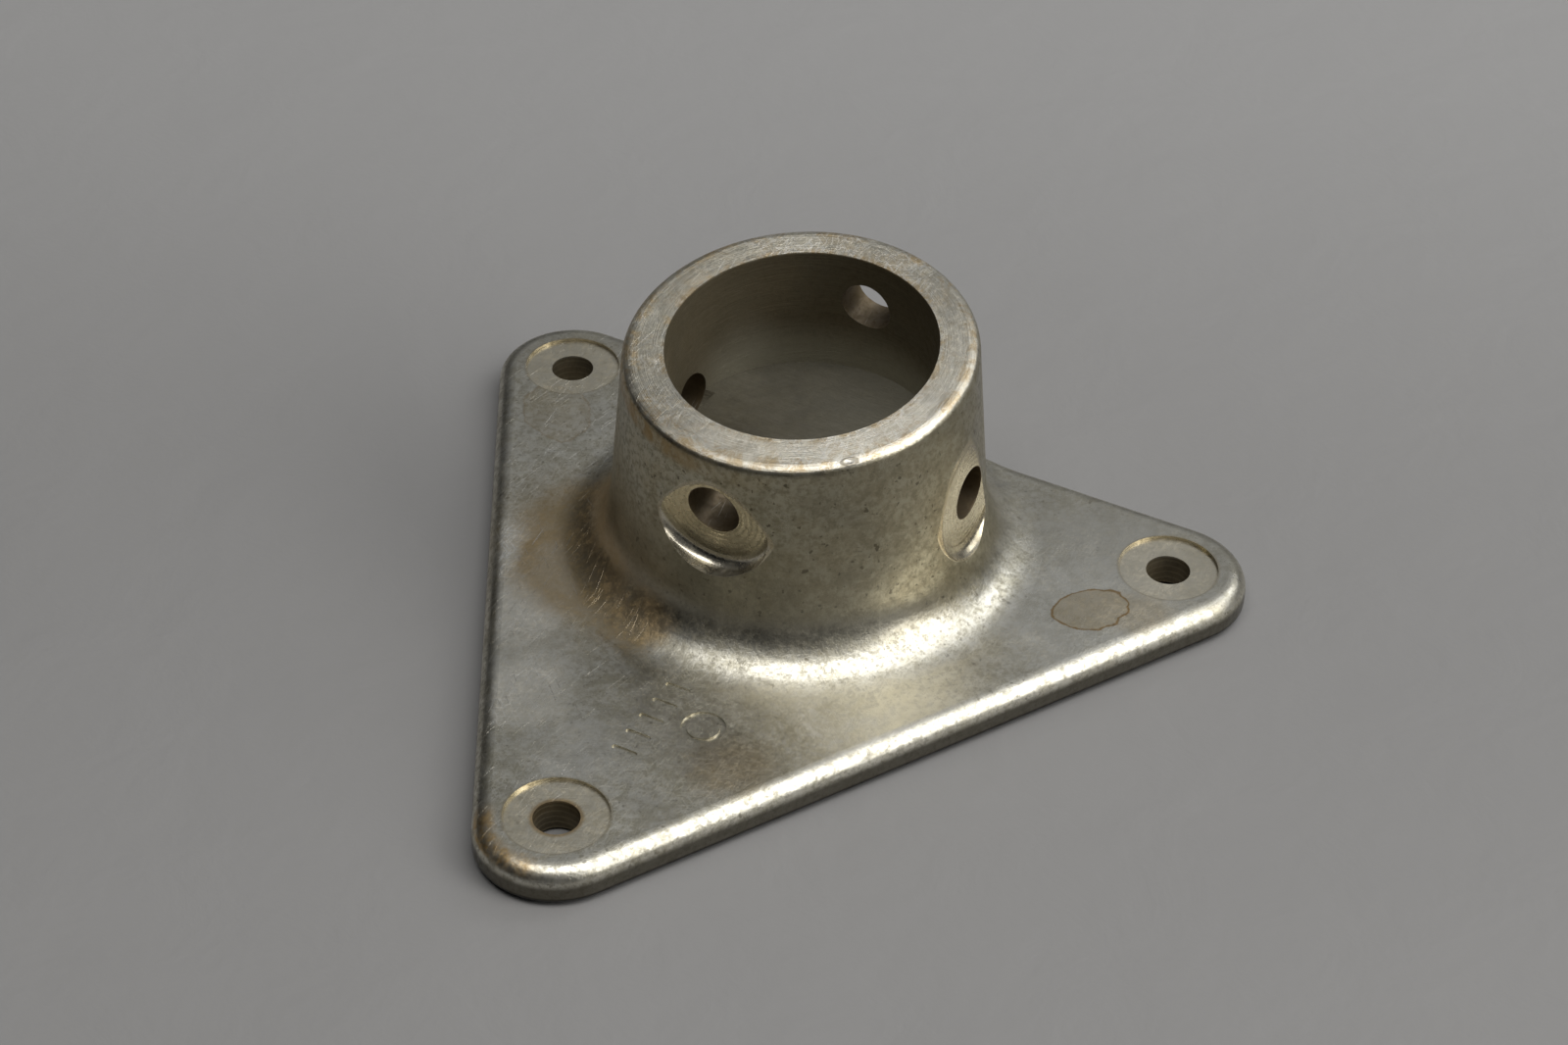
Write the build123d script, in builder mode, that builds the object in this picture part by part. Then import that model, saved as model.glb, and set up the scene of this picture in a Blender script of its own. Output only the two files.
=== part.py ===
import os
from math import cos, radians, sin, tan

from build123d import *

# A one-piece forged deck pad: a three-cornered plate with an upright, drafted socket.
# The socket's bore leans towards the plate's front corner, and its floor lies level.
# Origin: centre of the screw-hole circle, on the face that sits on the deck.
# +Z is up, and the front corner that the bore leans to is towards -Y.

# Plate
screw_circle_r = 48.0  # plate centre to each screw hole
corner_r = 9.4  # round of each corner, about its screw hole
plate_t = 4.4
top_edge_r = 2.2  # soft upper edge of the outline
bottom_edge_r = 0.8
screw_hole_d = 5.3
screw_seat_d = 12.0
screw_seat_depth = 0.4

# Socket
socket_y = 7.8  # socket axis, behind the plate centre
rim_z = 32.8  # rim height on the socket axis
lean = 7.5  # degrees that the bore and the rim lean towards -Y
rim_wall_r = 20.7  # outside radius where the axis meets the rim
draft = 4.75  # degrees of draft on the outside wall
root_r = 7.0  # fillet between wall and plate
rim_edge_r = 1.3
bore_d = 32.0
floor_z = 17.1  # level floor of the bore

# Cross holes: an upper pair in line with the lean, and a lower pair square to it
cross_hole_d = 6.5
cross_seat_d = 13.4  # flat part of each seat
cross_seat_corner_r = 1.4  # concave round between a seat's flat and its edge
cross_hole_start = 14.4  # inner end of each hole, from the bore axis
upper_pair_depth = 7.3  # below the rim, along the bore axis
upper_seat_r = 21.9  # bore axis to the seat's face
lower_pair_depth = 15.2
lower_seat_r = 21.3

# Plain identification marks: a row of dashes and a ring, pressed into the plate
mark_depth = 0.25
mark_row_centre = (1.2, -29.4)
mark_count = 5
mark_pitch = 3.0
mark_length = 3.2
mark_width = 0.7
mark_ring_centre = (7.0, -27.8)
mark_ring_r = 2.6

# Worked out from the sizes above
overshoot = 60.0  # longer than anything that it has to cut
wall_foot_r = rim_wall_r + rim_z * tan(radians(draft))
wall_top_z = rim_z + 2 * rim_wall_r * tan(radians(lean))
wall_top_r = wall_foot_r - wall_top_z * tan(radians(draft))
wall_at_plate_r = wall_foot_r - plate_t * tan(radians(draft))
root_reach_r = wall_at_plate_r + 2 * root_r
socket_axis = Plane(origin=(0, socket_y, 0), x_dir=(1, 0, 0), z_dir=(0, -1, 0))
rim_plane = Plane(
    origin=(0, socket_y, rim_z),
    x_dir=(1, 0, 0),
    z_dir=(0, -sin(radians(lean)), cos(radians(lean))),
)

right_angle, rear_angle, left_angle, front_angle = 0, 90, 180, 270  # about the bore axis
vertical_limit = 0.01  # a face this near to vertical is a side of the plate
on_base = (Align.CENTER, Align.CENTER, Align.MIN)

# Plan outline, drawn once for the plate and for trimming the socket's root
with BuildSketch() as outline:
    with PolarLocations(screw_circle_r, 3, start_angle=-90):
        Circle(corner_r)
    make_hull()

# Profile of the socket's wall and root, turned about the upright socket axis
with BuildSketch(socket_axis) as wall_profile:
    with BuildLine():
        Polyline(
            (0, 0),
            (root_reach_r, 0),
            (root_reach_r, plate_t),
            (wall_at_plate_r, plate_t),
            (wall_top_r, wall_top_z),
            (0, wall_top_z),
            close=True,
        )
    make_face()
    root_corner = wall_profile.vertices().sort_by_distance(
        socket_axis.from_local_coords((wall_at_plate_r, plate_t, 0))
    )[0]
    fillet(root_corner, radius=root_r)

# Space of the bore: it leans, but it ends on the level floor
with BuildPart() as bore_space:
    with BuildSketch(rim_plane):
        Circle(bore_d / 2)
    extrude(amount=overshoot, both=True)
    split(bisect_by=Plane.XY.offset(floor_z), keep=Keep.TOP)

with BuildPart() as pad_body:
    add(wall_profile.sketch)
    revolve(axis=Axis((0, socket_y, 0), (0, 0, 1)))
    extrude(outline.sketch, amount=wall_top_z, mode=Mode.INTERSECT)
    extrude(outline.sketch, amount=plate_t)
    split(bisect_by=rim_plane, keep=Keep.BOTTOM)

    # Soft edges: the upper and lower edge of the outline, then the rim
    side_faces = pad_body.faces().filter_by(lambda face: abs(face.normal_at().Z) < vertical_limit)
    fillet(side_faces.edges().filter_by(lambda edge: edge.center().Z > plate_t / 2), top_edge_r)
    fillet(pad_body.faces().sort_by(Axis.Z)[0].edges(), bottom_edge_r)
    rim_face = pad_body.faces().sort_by(Axis.Z)[-1]
    fillet(rim_face.edges(), rim_edge_r)

    # Screw holes with shallow seats
    with Locations((0, 0, plate_t)):
        with PolarLocations(screw_circle_r, 3, start_angle=-90):
            CounterBoreHole(screw_hole_d / 2, screw_seat_d / 2, screw_seat_depth)

    # Bore
    add(bore_space.part, mode=Mode.SUBTRACT)

    # Cross holes: each starts just inside the bore and runs out through the wall.
    # The rear one meets a wall that is nearly square to it, so it has no seat.
    for angle, depth, seat_r in (
        (front_angle, upper_pair_depth, upper_seat_r),
        (rear_angle, upper_pair_depth, None),
        (right_angle, lower_pair_depth, lower_seat_r),
        (left_angle, lower_pair_depth, lower_seat_r),
    ):
        level = rim_plane.offset(-depth)
        outward = level.x_dir.rotate(Axis((0, 0, 0), level.z_dir), angle)
        radial = Plane(origin=level.origin, x_dir=level.z_dir, z_dir=outward)
        with BuildSketch(radial.offset(cross_hole_start)):
            Circle(cross_hole_d / 2)
        extrude(amount=overshoot, mode=Mode.SUBTRACT)
        if seat_r is not None:
            with BuildPart(radial.offset(seat_r), mode=Mode.SUBTRACT) as seat_cutter:
                Cylinder(cross_seat_d / 2 + cross_seat_corner_r, overshoot, align=on_base)
                seat_edge = seat_cutter.edges().sort_by(Axis(radial.origin, radial.z_dir))[0]
                fillet(seat_edge, cross_seat_corner_r)

    # Identification marks
    with BuildSketch(Plane.XY.offset(plate_t)):
        with Locations(mark_row_centre):
            with GridLocations(mark_pitch, mark_pitch, 1, mark_count):
                SlotOverall(mark_length, mark_width)
        with Locations(mark_ring_centre):
            Circle(mark_ring_r)
            Circle(mark_ring_r - mark_width, mode=Mode.SUBTRACT)
    extrude(amount=-mark_depth, mode=Mode.SUBTRACT)

os.makedirs("parts", exist_ok=True)
pad_body.part.label = "pad_body"
export_step(pad_body.part, "parts/pad_body.step")
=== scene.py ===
import math

import bpy
from mathutils import Matrix, Vector

# A one-piece forged deck pad with aged plating, on a pale floor under soft panels.
# All of its shape comes from the frame. This script adds the metal, the floor, the light
# and a camera at the photo's angle. Places and sizes on the part are in millimetres.

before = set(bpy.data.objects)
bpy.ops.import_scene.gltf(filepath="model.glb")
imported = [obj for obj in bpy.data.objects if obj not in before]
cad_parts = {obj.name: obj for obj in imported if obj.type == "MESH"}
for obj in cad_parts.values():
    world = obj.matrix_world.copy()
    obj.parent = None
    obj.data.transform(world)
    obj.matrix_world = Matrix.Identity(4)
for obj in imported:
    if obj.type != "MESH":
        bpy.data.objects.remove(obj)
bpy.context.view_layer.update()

MM = 0.001

# ---------------------------------------------------------------- the part's own sizes
PLATE_T = 4.4
SCREW_CIRCLE_R = 48.0
SCREW_HOLE_R = 2.65
SCREW_SEAT_DEPTH = 0.4
SOCKET_Y = 7.8
RIM_Z = 32.8
LEAN = math.radians(7.5)
BORE_R = 16.0
FLOOR_Z = 17.1
CROSS_HOLE_R = 3.25
UPPER_DEPTH, LOWER_DEPTH = 7.3, 15.2  # cross holes below the rim, along the bore's axis
UPPER_SEAT_R, LOWER_SEAT_R = 21.9, 21.3  # bore axis to the face of each seat

AXIS = Vector((0.0, -math.sin(LEAN), math.cos(LEAN)))
RIM_CENTRE = Vector((0.0, SOCKET_Y, RIM_Z))
FRONT = Vector((0.0, -math.cos(LEAN), -math.sin(LEAN)))
RIGHT = Vector((1.0, 0.0, 0.0))
SCREW_ANGLES = [math.radians(-90 + 120 * k) for k in range(3)]
SCREW_HOLES = [(SCREW_CIRCLE_R * math.cos(a), SCREW_CIRCLE_R * math.sin(a), PLATE_T) for a in SCREW_ANGLES]
CROSS_SEATS = (
    (UPPER_DEPTH, FRONT, UPPER_SEAT_R),
    (LOWER_DEPTH, RIGHT, LOWER_SEAT_R),
    (LOWER_DEPTH, -RIGHT, LOWER_SEAT_R),
)
CROSS_PAIRS = ((UPPER_DEPTH, FRONT), (LOWER_DEPTH, RIGHT))

# ---------------------------------------------------------------- marks of age on the plate
# Each spot is x, y, the radius where it is full and the radius where it ends.
BRIGHT_SPOTS = (
    (20.0, -18.0, 4.0, 20.0),
    (-28.0, -17.0, 8.0, 15.0),
    (-17.0, -28.0, 3.0, 9.0),
    (38.0, 17.0, 10.0, 20.0),
    (-4.0, -38.0, 2.0, 9.0),
)
HAZY_SPOTS = ((-27.0, -16.0, 7.0, 13.0), (-14.0, -33.0, 3.0, 8.0))
BROWN_SPOT = (13.0, -32.0, 2.0, 7.0)
LEFT_ROOT_SPOTS = ((-22.5, -3.5, 5.5, 11.0), (-18.0, -10.5, 5.5, 10.5), (-8.5, -15.5, 2.5, 6.5))
DROP_TAIL = (42.0, 14.5, 2.0, 5.5)

# Direction in degrees from +X and a seed, for each set of straight marks
HAIRS = ((88, 5.0), (70, 17.0), (104, 31.0), (142, 47.0), (24, 59.0))
SCRATCHES = ((80, 3.0, 0.70), (98, 11.0, 0.71), (138, 29.0, 0.725))  # and how rare they are

# ---------------------------------------------------------------- the photo's camera
AZIMUTH, ELEVATION, ROLL = math.radians(27.796), math.radians(38.797), math.radians(0.967)
TARGET_Z = 4.0
DISTANCE = 399.73
SHIFT_RIGHT, SHIFT_UP = 2.042, 6.034
SENSOR_WIDTH = 36.0
LENS = 77.00175

CAM_RIGHT = Vector((math.cos(AZIMUTH), math.sin(AZIMUTH), 0))
CAM_NEAR = Vector((math.sin(AZIMUTH), -math.cos(AZIMUTH), 0))


# ---------------------------------------------------------------- node helpers
class Graph:
    """Short calls that each add a node to a tree and give its output."""

    def __init__(self, tree):
        self.tree = tree

    def new(self, kind):
        return self.tree.nodes.new(kind)

    def link(self, a, b):
        self.tree.links.new(a, b)

    def put(self, value, socket):
        """Link an output to a socket, or set the socket to a constant."""
        if isinstance(value, bpy.types.NodeSocket):
            self.link(value, socket)
        else:
            socket.default_value = value

    def math(self, op, a, b=0.0):
        n = self.new("ShaderNodeMath")
        n.operation = op
        self.put(a, n.inputs[0])
        self.put(b, n.inputs[1])
        return n.outputs[0]

    def add(self, first, *rest):
        for value in rest:
            first = self.math("ADD", first, value)
        return first

    def mul(self, first, *rest):
        for value in rest:
            first = self.math("MULTIPLY", first, value)
        return first

    def sub(self, a, b):
        return self.math("SUBTRACT", a, b)

    def inv(self, a):
        return self.math("SUBTRACT", 1.0, a)

    def clamp(self, a):
        return self.math("MAXIMUM", self.math("MINIMUM", a, 1.0), 0.0)

    def root_sum(self, *values):
        """Square root of the sum of squares."""
        return self.math("SQRT", self.add(*[self.mul(v, v) for v in values]))

    def vmath(self, op, a, b=(0, 0, 0)):
        n = self.new("ShaderNodeVectorMath")
        n.operation = op
        self.put(a, n.inputs[0])
        self.put(b, n.inputs[1])
        return n.outputs["Value"] if op in ("LENGTH", "DOT_PRODUCT", "DISTANCE") else n.outputs[0]

    def scaled(self, vector, scale):
        n = self.new("ShaderNodeVectorMath")
        n.operation = "SCALE"
        self.put(vector, n.inputs[0])
        self.put(scale, n.inputs["Scale"])
        return n.outputs[0]

    def split(self, vector):
        n = self.new("ShaderNodeSeparateXYZ")
        self.link(vector, n.inputs[0])
        return n.outputs

    def join(self, x, y, z=0.0):
        n = self.new("ShaderNodeCombineXYZ")
        for value, socket in zip((x, y, z), n.inputs):
            self.put(value, socket)
        return n.outputs[0]

    def ramp(self, x, lo, hi, start=0.0, end=1.0):
        """A smooth step from start at lo to end at hi."""
        n = self.new("ShaderNodeMapRange")
        n.interpolation_type = "SMOOTHSTEP"
        self.put(x, n.inputs["Value"])
        for name, value in (("From Min", lo), ("From Max", hi), ("To Min", start), ("To Max", end)):
            self.put(value, n.inputs[name])
        return n.outputs["Result"]

    def fade(self, x, lo, hi):
        """1 up to lo, falling to 0 at hi."""
        return self.ramp(x, lo, hi, 1.0, 0.0)

    def band(self, x, lo, hi, soft):
        return self.mul(self.ramp(x, lo - soft, lo + soft), self.fade(x, hi - soft, hi + soft))

    def at_least(self, least, mask):
        """The mask, raised so that its lowest value is least."""
        return self.add(least, self.mul(mask, 1.0 - least))

    def mix(self, fac, a, b):
        n = self.new("ShaderNodeMix")
        n.data_type = "RGBA"
        self.put(fac, n.inputs["Factor"])
        for value, socket in ((a, n.inputs["A"]), (b, n.inputs["B"])):
            self.put(value if isinstance(value, bpy.types.NodeSocket) else (*value, 1.0), socket)
        return n.outputs["Result"]


class Material(Graph):
    """A material with one Principled shader, worked out from the object's own coordinates."""

    def __init__(self, name):
        self.mat = bpy.data.materials.new(name)
        self.mat.use_nodes = True
        super().__init__(self.mat.node_tree)
        self.tree.nodes.clear()
        self.bsdf = self.new("ShaderNodeBsdfPrincipled")
        self.link(self.bsdf.outputs["BSDF"], self.new("ShaderNodeOutputMaterial").inputs["Surface"])
        coordinates = self.new("ShaderNodeTexCoord")
        self.pos = coordinates.outputs["Object"]  # metres
        self.normal = coordinates.outputs["Normal"]
        self.col = None

    def noise(self, scale, vector=None, detail=4.0, rough=0.55, distort=0.0, lo=None, hi=None):
        """Soft noise, stretched so that lo is 0 and hi is 1 where they are given."""
        n = self.new("ShaderNodeTexNoise")
        self.put(self.pos if vector is None else vector, n.inputs["Vector"])
        n.inputs["Scale"].default_value = scale
        n.inputs["Detail"].default_value = detail
        n.inputs["Roughness"].default_value = rough
        n.inputs["Distortion"].default_value = distort
        return n.outputs["Fac"] if lo is None else self.ramp(n.outputs["Fac"], lo, hi)

    def paint(self, mask, colour):
        """Lay a colour over what is painted so far."""
        self.col = self.mix(mask, self.col, colour)

    def surface(self, roughness, height, strength, distance):
        """Send the colour, the roughness and a bump to the shader."""
        bump = self.new("ShaderNodeBump")
        bump.inputs["Strength"].default_value = strength
        bump.inputs["Distance"].default_value = distance
        self.put(height, bump.inputs["Height"])
        self.link(bump.outputs["Normal"], self.bsdf.inputs["Normal"])
        self.put(self.col, self.bsdf.inputs["Base Color"])
        self.put(roughness, self.bsdf.inputs["Roughness"])


# ---------------------------------------------------------------- aged plated metal
class AgedMetal(Material):
    """The forging's metal. Its layers are painted in the order in which they stand below."""

    def __init__(self):
        super().__init__("aged_plated_metal")
        self.place = self.scaled(self.pos, 1.0 / MM)  # millimetres
        self.x, self.y, self.z = self.split(self.place)
        self.nz = self.split(self.normal)[2]

        # about the leaning axis of the bore
        self.along, outward = self.about_axis(RIM_CENTRE, AXIS)
        self.radial = self.vmath("LENGTH", outward)
        across, back, _ = self.split(outward)
        self.angle = self.math("ARCTAN2", back, across)

        # regions of the part
        self.on_rim = self.mul(
            self.ramp(self.along, -0.5, -0.2), self.ramp(self.radial, BORE_R - 0.1, BORE_R)
        )
        self.in_bore = self.mul(
            self.fade(self.along, -0.25, -0.05), self.fade(self.radial, BORE_R + 0.05, BORE_R + 0.2)
        )
        level = self.ramp(self.nz, 0.9, 0.99)
        self.bore_floor = self.mul(self.in_bore, self.fade(self.z, FLOOR_Z + 0.05, FLOOR_Z + 0.2), level)
        self.plate_top = self.mul(self.band(self.z, PLATE_T - 0.8, PLATE_T + 0.15, 0.1), level)

        # mottling that several layers share, from coarse to fine
        self.big = self.noise(30.0, detail=5.0, rough=0.62, lo=0.34, hi=0.66)
        self.cloud = self.noise(60.0, detail=6.0, rough=0.62, distort=0.6, lo=0.34, hi=0.66)
        self.mid = self.noise(150.0, detail=6.0, rough=0.68, distort=0.4, lo=0.36, hi=0.64)
        self.gritty = self.noise(420.0, detail=5.0, rough=0.7, lo=0.38, hi=0.60)
        self.fine = self.noise(520.0, detail=5.0, rough=0.75, lo=0.40, hi=0.60)
        self.specks = self.noise(1150.0, detail=2.0, rough=0.5, lo=0.655, hi=0.71)
        self.grit = self.noise(1300.0, detail=3.0, rough=0.7, lo=0.44, hi=0.64)
        self.ragged = self.mul(self.sub(self.noise(110.0, detail=5.0, rough=0.6), 0.5), 6.5)

    # ---- places on the part
    def about_axis(self, origin, direction):
        """How far along an axis a point is, and its offset from the axis."""
        offset = self.vmath("SUBTRACT", self.place, tuple(origin))
        along = self.vmath("DOT_PRODUCT", offset, tuple(direction))
        return along, self.vmath("SUBTRACT", offset, self.scaled(tuple(direction), along))

    def about_cross_hole(self, depth, direction):
        along, outward = self.about_axis(RIM_CENTRE - depth * AXIS, direction)
        return along, self.vmath("LENGTH", outward)

    def near(self, centre, full, end, ragged=False):
        """A round spot: 1 within full of its centre, and 0 beyond end."""
        distance = self.vmath("DISTANCE", self.place, centre)
        return self.fade(self.add(distance, self.ragged) if ragged else distance, full, end)

    def spots(self, spots, ragged=False):
        """All of the given spots on the plate."""
        return self.clamp(self.add(*[self.near((x, y, PLATE_T), r0, r1, ragged) for x, y, r0, r1 in spots]))

    def streaks(self, degrees, seed, along, with_height, lo, hi):
        """Thin straight marks in the plate's plane, running at the given angle."""
        c, s = math.cos(math.radians(degrees)), math.sin(math.radians(degrees))
        u = self.add(self.mul(self.x, c), self.mul(self.y, s))
        v = self.sub(self.mul(self.y, c), self.mul(self.x, s))
        w = self.add(self.mul(self.z, with_height), seed)
        place = self.join(self.mul(u, along), self.mul(v, 4.2), w)
        return self.noise(1.0, vector=place, detail=2.0, rough=0.5, lo=lo, hi=hi)

    # ---- layers
    def plating(self):
        self.col = self.mix(self.big, (0.51, 0.48, 0.38), (0.65, 0.62, 0.525))
        self.paint(self.mul(self.mid, 0.60), (0.41, 0.385, 0.29))
        self.paint(self.mul(self.fine, 0.60), (0.80, 0.78, 0.70))
        self.paint(self.mul(self.grit, 0.66), (0.29, 0.27, 0.21))
        self.paint(self.mul(self.specks, 0.55), (0.16, 0.14, 0.10))

    def hair_scratches(self):
        """Fine scratches in several directions, thickest in patches."""
        hairs = [self.streaks(turn, seed, 0.40, 2.94, 0.58, 0.66) for turn, seed in HAIRS]
        patches = self.noise(75.0, detail=4.0, rough=0.6, lo=0.40, hi=0.62)
        self.hairs = self.mul(
            self.clamp(self.add(*hairs)), self.at_least(0.25, patches), self.inv(self.in_bore)
        )
        self.paint(self.mul(self.hairs, 0.36), (0.84, 0.82, 0.73))

    def plate_sides(self):
        """The sides: tarnish and painted shade, with a near-black painted contact shadow at the deck."""
        steep = self.fade(self.nz, 0.35, 0.6)
        flank = self.mul(self.fade(self.z, 2.0, 3.0), steep, self.ramp(self.nz, -0.6, -0.3))
        # Painted shade on the lower flank, for the shaded deck it reflects, over some tarnish.
        self.paint(self.mul(flank, 0.9), (0.105, 0.095, 0.073))
        # Painted shadow: a near-black band at the foot of the sides, the contact shadow on the deck.
        painted_contact_shadow = self.mul(self.fade(self.z, 0.55, 0.95), steep)
        self.paint(self.mul(painted_contact_shadow, 0.93), (0.018, 0.016, 0.012))

    def socket_wall(self):
        """Upright faces are painted darker and warmer, with painted shade at the wall's foot and on its right
        side.
        """
        wall = self.mul(self.fade(self.nz, 0.35, 0.8), self.ramp(self.z, 3.5, 5.5))
        self.paint(self.mul(wall, 0.65), self.mix(self.mid, (0.33, 0.30, 0.20), (0.42, 0.36, 0.225)))
        # Painted shade: darker low on the wall, at its foot above the root's rounding.
        self.paint(self.mul(wall, self.fade(self.z, 13.0, 24.0), 0.5), (0.235, 0.21, 0.14))
        # Painted shade: the right part of the wall is painted darker.
        self.paint(self.mul(wall, self.ramp(self.x, 2.0, 15.0), 0.58), (0.20, 0.178, 0.118))
        self.paint(self.mul(wall, self.fine, 0.30), (0.52, 0.49, 0.37))
        self.paint(self.mul(wall, self.grit, 0.45), (0.20, 0.18, 0.12))
        self.paint(self.mul(wall, self.specks, 0.75), (0.10, 0.085, 0.055))

    def tarnish(self):
        """Wide zones: bright at the front, darker at the back, brown by the socket's left root.

        A painted highlight tint whitens the upper part of the root's rounding at the front, where the
        highlight falls.
        """
        clouded = self.at_least(0.35, self.cloud)
        low = self.fade(self.z, 7.0, 11.0)

        # Brown by the socket's left root: tarnish, and painted shade where the socket shades the plate.
        self.stain = self.mul(
            self.near((-20.0, -8.0, 6.0), 4.0, 22.0), self.ramp(self.z, 1.0, 3.5), clouded
        )
        self.paint(self.mul(self.stain, 0.55), (0.42, 0.30, 0.13))

        bright = self.mul(self.spots(BRIGHT_SPOTS), self.plate_top, clouded)
        self.paint(self.mul(bright, 0.6), (0.84, 0.825, 0.76))
        hazy = self.mul(self.spots(HAZY_SPOTS, ragged=True), self.plate_top)
        self.paint(self.mul(hazy, 0.55), (0.97, 0.925, 0.80))
        self.paint(self.mul(self.hairs, hazy, 0.85), (1.0, 0.99, 0.93))

        from_socket = self.root_sum(self.x, self.sub(self.y, SOCKET_Y))
        # Painted highlight: a near-white tint where the highlight falls on the root's rounding at the front.
        painted_highlight_tint = self.mul(
            self.band(from_socket, 23.0, 29.5, 1.5), self.ramp(self.y, 4.0, -8.0), self.ramp(self.z, 6.5, 9.0)
        )
        self.paint(self.mul(painted_highlight_tint, 0.45), (0.70, 0.695, 0.67))
        dull = self.mul(self.ramp(self.y, 12.0, 26.0), low, self.ramp(self.z, 3.0, 3.6))
        self.paint(self.mul(dull, 0.35), (0.36, 0.34, 0.28))

        brown = self.mul(self.spots([BROWN_SPOT], ragged=True), self.plate_top)
        self.paint(self.mul(brown, 0.42), (0.48, 0.36, 0.19))
        left_root = self.mul(self.spots(LEFT_ROOT_SPOTS, ragged=True), low, self.at_least(0.75, self.mid))
        # Painted light: on the root's slopes the brown is a lighter copy, for light the slopes catch.
        on_top = self.ramp(self.nz, 0.75, 0.97)
        self.paint(self.mul(left_root, 0.88), self.mix(on_top, (0.66, 0.48, 0.25), (0.46, 0.335, 0.165)))

    def edge_films(self):
        """Brown films on the front corner's left rounding, and under the rim's left side."""
        plan = self.vmath("MULTIPLY", self.place, (1.0, 1.0, 0.0))
        from_screw = self.vmath("DISTANCE", plan, (0.0, -SCREW_CIRCLE_R, 0.0))
        corner = self.mul(
            self.near((-4.2, -55.5, 3.8), 3.0, 8.0, ragged=True),
            self.ramp(self.z, 3.0, 3.5),
            self.ramp(from_screw, 6.3, 7.6),
        )
        self.paint(self.mul(corner, self.at_least(0.30, self.gritty), 0.85), (0.64, 0.42, 0.16))
        under_rim = self.mul(
            self.band(self.along, -2.6, -0.5, 0.6),
            self.ramp(self.radial, 18.5, 19.5),
            self.ramp(self.x, 6.0, -10.0),
        )
        self.paint(self.mul(under_rim, self.at_least(0.35, self.gritty), 0.85), (0.34, 0.225, 0.085))

    def drop(self, cx, cy, rx, ry, degrees, width, amount):
        """The outline and the inside of a dried drop."""
        dx, dy = self.sub(self.x, cx), self.sub(self.y, cy)
        c, s = math.cos(math.radians(degrees)), math.sin(math.radians(degrees))
        u = self.math("DIVIDE", self.add(self.mul(dx, c), self.mul(dy, s)), rx)
        v = self.math("DIVIDE", self.sub(self.mul(dy, c), self.mul(dx, s)), ry)
        wobble = self.mul(self.sub(self.noise(230.0), 0.5), 0.75)
        d = self.add(self.root_sum(u, v), wobble)
        line = self.band(d, 1.0 - width, 1.0, 0.03)
        return [self.mul(mask, self.plate_top, amount) for mask in (line, self.fade(d, 0.95, 1.0))]

    def drop_stains(self):
        """A strong stain beside the right screw hole, with a tail, and a faint one at the left."""
        strong_line, strong_inside = self.drop(36.6, 12.4, 4.6, 3.7, 50, 0.07, 1.0)
        faint_line, faint_inside = self.drop(-38.0, 14.5, 6.0, 4.2, -40, 0.05, 0.35)
        tail = self.mul(self.spots([DROP_TAIL]), self.plate_top, 0.8)
        inside = self.clamp(self.add(strong_inside, faint_inside, tail))
        self.paint(self.mul(inside, 0.50), (0.52, 0.41, 0.23))
        self.paint(self.mul(self.clamp(self.add(strong_line, faint_line)), 0.85), (0.33, 0.20, 0.07))

    def screw_seats(self):
        """A pale film on each turned seat, a line round it, and a brown lip on the front hole."""
        lines, films = [], []
        for centre in SCREW_HOLES:
            d = self.vmath("DISTANCE", self.place, centre)
            lines.append(self.band(d, 5.75, 6.2, 0.12))
            films.append(self.fade(d, 5.8, 6.0))
            films.append(self.mul(self.fade(d, SCREW_HOLE_R, SCREW_HOLE_R + 0.95), 0.8))
        self.paint(self.mul(self.clamp(self.add(*films)), 0.45), (0.82, 0.735, 0.55))
        self.paint(self.mul(self.clamp(self.add(*lines)), 0.35), (0.40, 0.33, 0.20))
        lip = self.near((0.0, -SCREW_CIRCLE_R, PLATE_T - SCREW_SEAT_DEPTH), 2.75, 3.3)
        self.paint(self.mul(lip, 0.7), (0.40, 0.26, 0.10))

    def rim(self):
        """The rim is brushed round, with painted sheen on its front right, gold patches towards its two
        edges, and one nick.
        """
        round_rim = self.join(self.mul(self.angle, 3.0), self.mul(self.radial, 9.0), self.along)
        self.brush = self.noise(1.0, vector=round_rim, rough=0.7, lo=0.30, hi=0.70)
        # Painted light: the front right of the rim gets a lighter copy of its colour, a painted sheen.
        painted_sheen_side = self.ramp(self.math("COSINE", self.sub(self.angle, math.radians(-30))), -0.4, 0.8)
        shaded_rim_colour = self.mix(self.brush, (0.46, 0.42, 0.32), (0.80, 0.755, 0.63))
        bright = self.mix(self.brush, (0.74, 0.68, 0.53), (1.0, 0.95, 0.83))
        colour = self.mix(self.mul(painted_sheen_side, 0.95), shaded_rim_colour, bright)

        gold = self.noise(300.0, detail=7.0, rough=0.75, distort=0.6, lo=0.44, hi=0.58)
        outer_edge, inner_edge = self.ramp(self.radial, 18.6, 19.6), self.ramp(self.radial, 16.9, 16.1)
        edges = self.clamp(self.add(outer_edge, inner_edge, 0.35))
        colour = self.mix(self.mul(gold, edges, 0.8), colour, (0.60, 0.44, 0.22))
        self.paint(self.mul(self.on_rim, 0.85), colour)
        self.paint(self.mul(self.hairs, self.on_rim, 0.55), (1.0, 0.98, 0.92))

        # a nick in the outer edge: long along the rim, with a dark outline and a bright inside
        offset = self.vmath("SUBTRACT", self.place, (13.9, -6.7, 30.5))
        u = self.mul(self.vmath("DOT_PRODUCT", offset, (0.72, 0.69, 0.0)), 0.45)
        v = self.vmath("DOT_PRODUCT", offset, (0.69, -0.72, 0.0))
        w = self.vmath("DOT_PRODUCT", offset, (0.0, 0.0, 1.0))
        distance = self.root_sum(u, v, w)
        self.nick = self.fade(distance, 0.20, 0.48)
        self.paint(self.mul(self.band(distance, 0.42, 0.60, 0.06), 0.75), (0.17, 0.15, 0.11))
        self.paint(self.mul(self.nick, 0.9), (0.97, 0.96, 0.90))

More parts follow.
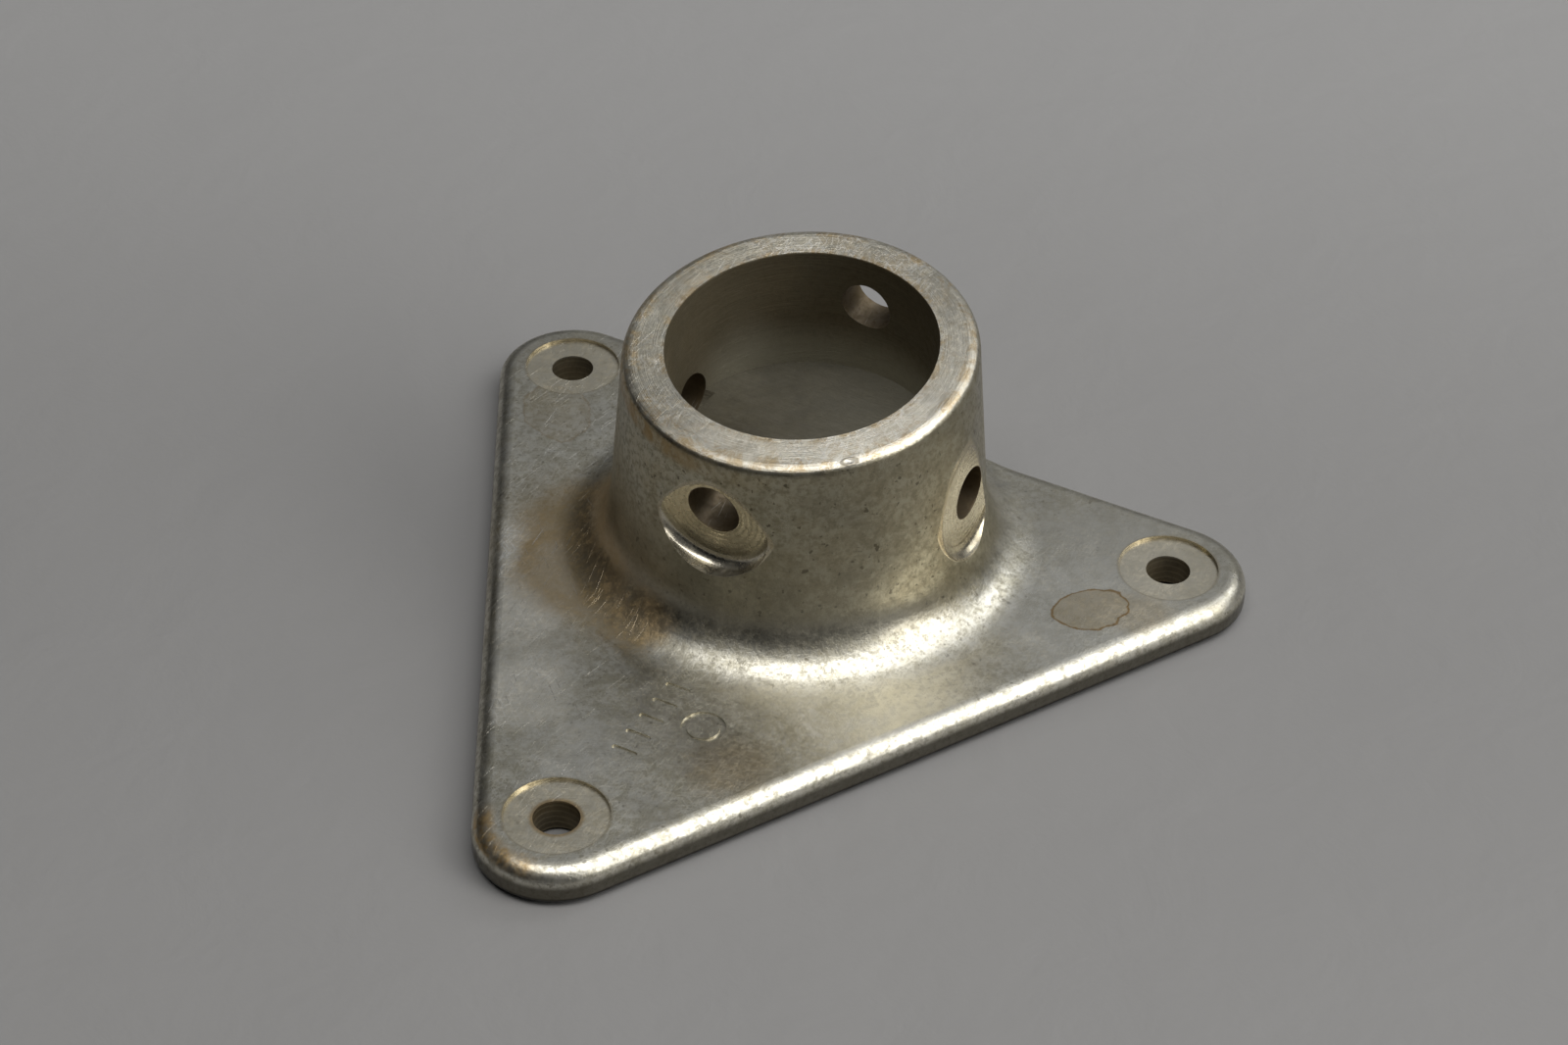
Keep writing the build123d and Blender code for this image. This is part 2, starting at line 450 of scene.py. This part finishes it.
    def bore(self):
        """The bore is dull brownish metal under painted shade, with painted light low on its back wall, and a
        few pits.
        """
        round_wall = self.join(self.mul(self.angle, 2.0), self.mul(self.along, 5.0))
        self.bore_lines = self.noise(1.0, vector=round_wall, detail=5.0, rough=0.7, lo=0.3, hi=0.7)
        # Painted shade: the bore's dull brownish metal is painted far darker than the outside.
        colour = self.mix(self.bore_lines, (0.09, 0.074, 0.043), (0.15, 0.128, 0.082))
        colour = self.mix(self.mul(self.cloud, 0.45), colour, (0.15, 0.115, 0.062))
        # Painted light: a paler spot low on the back left wall, for light reflected from the bore's floor.
        pale = self.mul(self.near((-12.0, 17.0, 21.5), 2.0, 6.0), self.cloud)
        colour = self.mix(self.mul(pale, 0.5), colour, (0.27, 0.255, 0.20))
        # Painted reflection: the back wall is painted paler low down, for the lit floor it reflects.
        back = self.mul(self.ramp(self.y, 8.0, 20.0), self.fade(self.z, FLOOR_Z, FLOOR_Z + 8.0))
        colour = self.mix(self.mul(back, 0.95), colour, (0.42, 0.40, 0.32))

        # Painted shade: the bore's floor is painted dark on its left and lighter on its right.
        ground = self.mix(self.ramp(self.x, -12.0, 12.0), (0.045, 0.041, 0.028), (0.28, 0.265, 0.21))
        ground = self.mix(self.mul(self.mid, 0.4), ground, (0.15, 0.135, 0.095))
        colour = self.mix(self.mul(self.bore_floor, 0.85), colour, ground)
        pits = self.add(
            self.near((-11.0, 18.9, 23.5), 0.5, 0.9),
            self.near((7.0, 0.0, FLOOR_Z), 0.4, 0.9),
            self.near((-8.5, -3.0, FLOOR_Z), 0.3, 0.8),
        )
        colour = self.mix(self.clamp(self.mul(pits, 0.8)), colour, (0.03, 0.028, 0.02))
        self.paint(self.mul(self.in_bore, 0.93), colour)

    def cross_hole_seats(self):
        """Each cross hole's seat is cleaner metal with the rings its cutter turned, and a painted highlight
        on some edges.
        """
        seats, flats, rings = [], [], []
        for depth, direction, face in CROSS_SEATS:
            along, off_axis = self.about_cross_hole(depth, direction)
            seat = self.mul(
                self.fade(off_axis, 8.0, 8.2),
                self.ramp(along, face - 0.15, face - 0.05),
                self.fade(along, face + 2.6, face + 3.0),
            )
            seats.append(seat)
            flats.append(self.mul(seat, self.fade(along, face + 0.1, face + 0.3)))
            rings.append(self.mul(seat, self.ramp(self.math("SINE", self.mul(off_axis, 9.0)), -0.4, 1.0)))
        self.seats, self.rings = self.add(*seats), self.add(*rings)
        self.paint(self.mul(self.seats, 0.55), (0.64, 0.56, 0.40))
        # Painted highlight: near-white on the curved edges of the front and left seats, where light catches.
        painted_crescent = self.mul(self.seats, self.inv(self.add(*flats)), self.fade(self.x, 10.0, 15.0))
        self.paint(self.mul(painted_crescent, 0.5), (0.86, 0.82, 0.72))
        self.paint(self.mul(self.rings, 0.18), (0.36, 0.29, 0.16))

    def hole_insides(self):
        """Painted shade darkens the walls in the cross holes and the screw holes; the latter get lighter
        rings.
        """
        cross, screw = [], []
        for depth, direction in CROSS_PAIRS:
            along, off_axis = self.about_cross_hole(depth, direction)
            cross.append(
                self.mul(
                    self.fade(off_axis, CROSS_HOLE_R + 0.02, CROSS_HOLE_R + 0.07),
                    self.ramp(self.math("ABSOLUTE", along), 10.0, 12.0),
                    self.ramp(self.radial, BORE_R, BORE_R + 0.1),
                )
            )
        for cx, cy, _ in SCREW_HOLES:
            off_axis = self.root_sum(self.sub(self.x, cx), self.sub(self.y, cy))
            inside = self.fade(off_axis, SCREW_HOLE_R + 0.02, SCREW_HOLE_R + 0.07)
            screw.append(self.mul(inside, self.fade(self.z, 3.7, 3.95)))
        self.bored = self.clamp(self.add(*cross, *screw))
        in_cross = self.clamp(self.add(*cross))
        turns = self.ramp(
            self.math("SINE", self.add(self.mul(self.z, 7.4), self.mul(self.cloud, 3.0))), 0.3, 0.95
        )
        # Painted shade: the holes' brownish walls are painted very dark, the cross holes darkest.
        colour = self.mix(self.cloud, (0.055, 0.042, 0.022), (0.15, 0.115, 0.06))
        colour = self.mix(self.mul(turns, self.inv(in_cross), 0.35), colour, (0.30, 0.26, 0.17))
        colour = self.mix(self.mul(in_cross, 0.7), colour, (0.12, 0.078, 0.034))
        self.paint(self.mul(self.bored, 0.9), colour)

    def long_scratches(self):
        """Scratches on level faces, most of them on the part's left."""
        marks = [self.streaks(turn, seed, 0.14, 0.0, rare - 0.03, rare) for turn, seed, rare in SCRATCHES]
        left = self.clamp(self.add(self.ramp(self.x, 6.0, -18.0), 0.18))
        level = self.ramp(self.nz, 0.5, 0.95)
        self.scratches = self.mul(self.clamp(self.add(*marks)), left, level, self.inv(self.in_bore))
        self.paint(self.mul(self.scratches, 0.55), (0.80, 0.78, 0.72))

    def finish(self):
        """Roughness, dull places and the small relief of the skin."""
        rough = self.add(
            0.255,
            self.mul(self.big, 0.06),
            self.mul(self.mid, 0.10),
            self.mul(self.grit, 0.12),
            self.mul(self.stain, 0.05),
            self.mul(self.in_bore, 0.12),
            self.mul(self.on_rim, self.brush, 0.05),
            self.mul(self.seats, -0.08),
            self.mul(self.bored, 0.15),
        )
        dull = self.clamp(self.add(self.mul(self.in_bore, 0.45), self.mul(self.bored, 0.25)))
        self.put(self.inv(dull), self.bsdf.inputs["Metallic"])
        grain = self.inv(self.mul(self.clamp(self.seats), 0.75))
        height = self.add(
            self.mul(self.noise(1500.0, detail=3.0, rough=0.6), grain, 0.45),
            self.mul(self.noise(350.0, rough=0.6), grain, 0.55),
            self.mul(self.noise(45.0, detail=3.0, rough=0.5), 0.9),
            self.mul(self.on_rim, self.brush, 0.35),
            self.mul(self.in_bore, self.bore_lines, 0.6),
            self.mul(self.rings, 0.25),
            self.mul(self.scratches, -0.3),
            self.mul(self.hairs, -0.10),
            self.mul(self.nick, -6.0),
        )
        self.surface(rough, height, strength=0.6, distance=0.09 * MM)


def aged_metal():
    m = AgedMetal()
    m.plating()
    m.hair_scratches()
    m.plate_sides()
    m.socket_wall()
    m.tarnish()
    m.edge_films()
    m.drop_stains()
    m.screw_seats()
    m.rim()
    m.bore()
    m.cross_hole_seats()
    m.hole_insides()
    m.long_scratches()
    m.finish()
    return m.mat


metal = aged_metal()
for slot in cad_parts["pad_body"].material_slots:
    slot.material = metal


# ---------------------------------------------------------------- floor
def floor_material():
    """A plain, pale, slightly uneven sheet, painted lighter away from the camera as painted light."""
    m = Material("pale_floor")
    grain = m.noise(260.0, rough=0.6)
    m.col = m.mix(m.noise(7.0, detail=3.0), (0.228, 0.225, 0.222), (0.254, 0.251, 0.248))
    away = m.vmath("DOT_PRODUCT", m.pos, tuple(-CAM_NEAR))
    # Painted light: the floor is painted lighter away from the camera, a painted fall of light.
    m.paint(m.ramp(away, 0.0, 0.16), (0.318, 0.315, 0.313))
    height = m.add(
        m.mul(m.noise(9.0, rough=0.5), 4.0),
        m.mul(m.noise(75.0, detail=5.0, rough=0.6, distort=0.5), 1.1),
        m.mul(grain, 0.3),
    )
    m.surface(m.add(0.48, m.mul(grain, 0.1)), height, strength=0.5, distance=0.4 * MM)
    return m.mat


FLOOR_GAP = 0.4 * MM  # the floor lies this far below the part, for the dark line in the photo

bpy.ops.mesh.primitive_plane_add(size=4.0, location=(0, 0, -FLOOR_GAP))
floor = bpy.context.active_object
floor.name = "floor"
floor.data.materials.append(floor_material())


# ---------------------------------------------------------------- camera
def stand(obj, right, up, back, place):
    """Put a camera or a light at a place, looking against its back direction."""
    turned = Matrix((right, up, back)).transposed().to_4x4()
    turned.translation = place
    obj.matrix_world = turned


back = CAM_NEAR * math.cos(ELEVATION) + Vector((0, 0, math.sin(ELEVATION)))
level_up = back.cross(CAM_RIGHT)
right = CAM_RIGHT * math.cos(ROLL) + level_up * math.sin(ROLL)
up = level_up * math.cos(ROLL) - CAM_RIGHT * math.sin(ROLL)
eye = Vector((0, 0, TARGET_Z)) + back * DISTANCE + right * SHIFT_RIGHT + up * SHIFT_UP

camera_data = bpy.data.cameras.new("camera")
camera_data.sensor_fit = "HORIZONTAL"
camera_data.sensor_width = SENSOR_WIDTH
camera_data.lens = LENS
camera_data.clip_start = 0.01
camera_data.clip_end = 20.0
camera = bpy.data.objects.new("camera", camera_data)
bpy.context.scene.collection.objects.link(camera)
stand(camera, right, up, back, eye * MM)
bpy.context.scene.camera = camera


# ---------------------------------------------------------------- light
def panel(name, right_m, near_m, up_m, width, depth, radiance, colour):
    """A soft panel that faces the part, at a place in metres as the camera sees it.

    Its width runs to the right, and its depth towards the camera.
    """
    light = bpy.data.lights.new(name, "AREA")
    light.shape = "RECTANGLE"
    light.size, light.size_y = width, depth
    light.energy = radiance * math.pi * width * depth
    light.color = colour
    obj = bpy.data.objects.new(name, light)
    bpy.context.scene.collection.objects.link(obj)
    place = CAM_RIGHT * right_m + CAM_NEAR * near_m + Vector((0, 0, up_m))
    away = place.normalized()
    near = away.cross(CAM_RIGHT).normalized()
    stand(obj, near.cross(away).normalized(), near, away, place)


WARM, COOL = (1.0, 0.985, 0.96), (0.98, 0.99, 1.0)
panel("key", 0.32, 0.24, 1.15, 1.95, 0.62, 3.6, WARM)
panel("side", 1.07, 0.55, 0.66, 0.60, 0.72, 3.8, WARM)
panel("back_right", 1.0, -0.60, 0.88, 0.6, 0.5, 2.3, COOL)

# The room: lighter above, to the right and behind the part
world = bpy.data.worlds.new("world")
bpy.context.scene.world = world
world.use_nodes = True
room = Graph(world.node_tree)
direction = room.new("ShaderNodeTexCoord").outputs["Generated"]
above = room.vmath("DOT_PRODUCT", direction, (0, 0, 1))
to_right = room.vmath("DOT_PRODUCT", direction, tuple(CAM_RIGHT))
towards_camera = room.vmath("DOT_PRODUCT", direction, tuple(CAM_NEAR))
strength = room.mul(
    room.ramp(above, 0.0, 0.75, 0.05, 0.30),
    room.ramp(to_right, -0.75, 0.6, 0.15, 1.2),
    room.ramp(towards_camera, -0.25, 0.6, 1.35, 0.40),
)
background = world.node_tree.nodes["Background"]
background.inputs["Color"].default_value = (0.95, 0.97, 1.0, 1)
room.put(strength, background.inputs["Strength"])

bpy.context.scene.view_settings.view_transform = "Standard"
